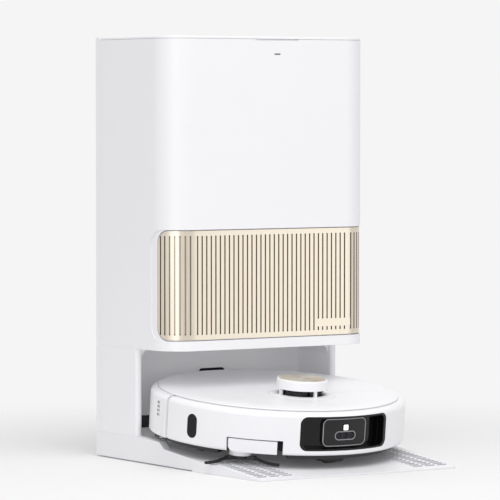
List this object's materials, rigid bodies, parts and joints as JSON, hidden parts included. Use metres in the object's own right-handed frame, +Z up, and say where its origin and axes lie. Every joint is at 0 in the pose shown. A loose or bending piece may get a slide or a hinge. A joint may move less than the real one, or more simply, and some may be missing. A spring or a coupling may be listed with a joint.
{
  "type": "robot vacuum with base station",
  "caption": "Round white robot vacuum and mop docked nose-out in a tall white self-emptying base station with a ribbed gold front panel and a sloping ramp.",
  "frame": {"origin": "centre of the bounding box on the floor", "axes": "+X to the station's right seen from the front, +Y to its back, +Z up; the robot faces -Y"},
  "size_m": [0.354, 0.415, 0.59],
  "materials": {
    "white_shell": "satin white moulding",
    "base_white": "fine matte light grey-white moulding",
    "bay_grey": "matte grey inner moulding",
    "champagne_gold": "brushed and anodised champagne gold",
    "black_gloss": "polished black sensor window",
    "lens_glass": "dark camera lens",
    "black_plastic": "matte black moulding",
    "rubber": "black rubber",
    "tyre": "black tread rubber",
    "bristle": "black nylon bristle",
    "mop_cloth": "grey microfibre pile",
    "bag_fleece": "white fleece",
    "clear_tank": "clear blue-grey tank plastic",
    "smoked_tank": "smoked tank plastic",
    "grey_plastic": "grey moulding",
    "board_green": "green circuit board",
    "steel": "plain steel",
    "contact_metal": "plated contact"
  },
  "bodies": {
    "station": {"station_base": "base_white", "ramp_plate": "base_white", "washboard": "bay_grey", "left_side_wall": "white_shell", "right_side_wall": "white_shell", "bay_back_wall": "bay_grey", "signal_window": "black_gloss", "bay_ceiling": "bay_grey", "tower_shell": "white_shell", "compartment_liner": "white_shell", "rear_cover": "white_shell", "lid_hinge_pins": "steel", "clean_water_tank": "clear_tank", "dirty_water_tank": "smoked_tank", "dust_bag": "bag_fleece", "dust_duct": "grey_plastic", "suction_motor": "black_plastic", "water_pump": "grey_plastic", "power_supply": "grey_plastic", "power_inlet": "black_plastic", "rubber_feet": "rubber", "station_screws": "steel"},
    "lid": {"top_lid": "white_shell"},
    "panel": {"front_panel": "champagne_gold"},
    "contacts": {"charge_contacts": "contact_metal"},
    "drive_unit": {"left_gearbox": "black_plastic", "right_gearbox": "black_plastic"},
    "left_wheel": {"left_wheel_hub": "black_plastic", "left_tyre": "tyre"},
    "right_wheel": {"right_wheel_hub": "black_plastic", "right_tyre": "tyre"},
    "robot": {"chassis_pan": "black_plastic", "rear_band": "white_shell", "charge_plates": "contact_metal", "top_cover": "white_shell", "turret_cage": "white_shell", "turret_disc": "champagne_gold", "brush_guard": "black_plastic", "dust_bin": "smoked_tank", "suction_fan": "black_plastic", "battery_pack": "grey_plastic", "main_board": "board_green", "chassis_screws": "steel"},
    "bumper": {"bumper": "white_shell", "side_sensor_window": "black_gloss", "front_window": "black_gloss", "sensor_block": "black_gloss", "camera_lenses": "lens_glass"},
    "lidar": {"lidar_rotor": "black_plastic"},
    "caster": {"caster_fork": "black_plastic"},
    "caster_roller": {"caster_wheel": "black_plastic"},
    "roller_brush": {"main_brush": "rubber"},
    "side_arm": {"side_brush_arm": "white_shell"},
    "side_brush": {"side_brush_hub": "black_plastic", "side_brush_bristles": "bristle"},
    "mop_lift": {"mop_carrier": "black_plastic"},
    "left_mop": {"left_mop_plate": "black_plastic", "left_mop_pad": "mop_cloth"},
    "right_mop": {"right_mop_plate": "black_plastic", "right_mop_pad": "mop_cloth"}
  },
  "joints": [
    {"name": "lid_hinge", "type": "hinge", "parent": "station", "child": "lid", "pos_m": [0, 0.203, 0.5825], "axis": [-1, 0, 0], "range_deg": [0, 75]},
    {"name": "panel_pull", "type": "slide", "parent": "station", "child": "panel", "axis": [0, -1, 0], "range_m": [0, 0.15]},
    {"name": "contact_press", "type": "slide", "parent": "station", "child": "contacts", "axis": [0, 1, 0], "range_m": [0, 0.003], "stiffness_N_per_m": 200},
    {"name": "drive_out", "type": "slide", "parent": "station", "child": "drive_unit", "axis": [0, -0.9986, -0.0523], "range_m": [0, 0.4206]},
    {"name": "chassis_pitch", "type": "hinge", "parent": "drive_unit", "child": "robot", "pos_m": [0, -0.00345, 0.05811], "axis": [-1, 0, 0], "range_deg": [0, 5.5]},
    {"name": "left_wheel_spin", "type": "hinge", "parent": "drive_unit", "child": "left_wheel", "pos_m": [-0.115, -0.00345, 0.05811], "axis": [1, 0, 0], "continuous": true},
    {"name": "right_wheel_spin", "type": "hinge", "parent": "drive_unit", "child": "right_wheel", "pos_m": [0.115, -0.00345, 0.05811], "axis": [1, 0, 0], "continuous": true},
    {"name": "bumper_press", "type": "slide", "parent": "robot", "child": "bumper", "axis": [0, 0.9954, 0.0958], "range_m": [0, 0.004], "stiffness_N_per_m": 400},
    {"name": "lidar_spin", "type": "hinge", "parent": "robot", "child": "lidar", "pos_m": [0, -0.06488, 0.10143], "axis": [0, -0.0958, 0.9954], "continuous": true},
    {"name": "caster_swivel", "type": "hinge", "parent": "robot", "child": "caster", "pos_m": [0, -0.13423, 0.04954], "axis": [0, -0.0958, 0.9954], "continuous": true},
    {"name": "caster_roll", "type": "hinge", "parent": "caster", "child": "caster_roller", "pos_m": [0, -0.13184, 0.02465], "axis": [1, 0, 0], "continuous": true},
    {"name": "roller_spin", "type": "hinge", "parent": "robot", "child": "roller_brush", "pos_m": [0, -0.03168, 0.03832], "axis": [1, 0, 0], "continuous": true},
    {"name": "arm_swing", "type": "hinge", "parent": "robot", "child": "side_arm", "pos_m": [-0.08604, -0.12499, 0.03837], "axis": [0, -0.0958, 0.9954], "range_deg": [0, 12]},
    {"name": "side_brush_spin", "type": "hinge", "parent": "side_arm", "child": "side_brush", "pos_m": [-0.1182, -0.09269, 0.02139], "axis": [0, -0.0958, 0.9954], "continuous": true},
    {"name": "mop_raise", "type": "slide", "parent": "robot", "child": "mop_lift", "axis": [0, -0.0958, 0.9954], "range_m": [0, 0.007]},
    {"name": "left_mop_spin", "type": "hinge", "parent": "mop_lift", "child": "left_mop", "pos_m": [-0.068, 0.0817, 0.05024], "axis": [0, -0.0958, 0.9954], "continuous": true},
    {"name": "right_mop_spin", "type": "hinge", "parent": "mop_lift", "child": "right_mop", "pos_m": [0.068, 0.0817, 0.05024], "axis": [0, -0.0958, 0.9954], "continuous": true}
  ],
  "couplings": [
    {"joint": "chassis_pitch", "follows": "drive_out", "rad_per_m": 0.22812},
    {"joint": "left_wheel_spin", "follows": "drive_out", "rad_per_m": 27.778},
    {"joint": "right_wheel_spin", "follows": "drive_out", "rad_per_m": 27.778},
    {"joint": "right_mop_spin", "follows": "left_mop_spin", "ratio": -1}
  ]
}
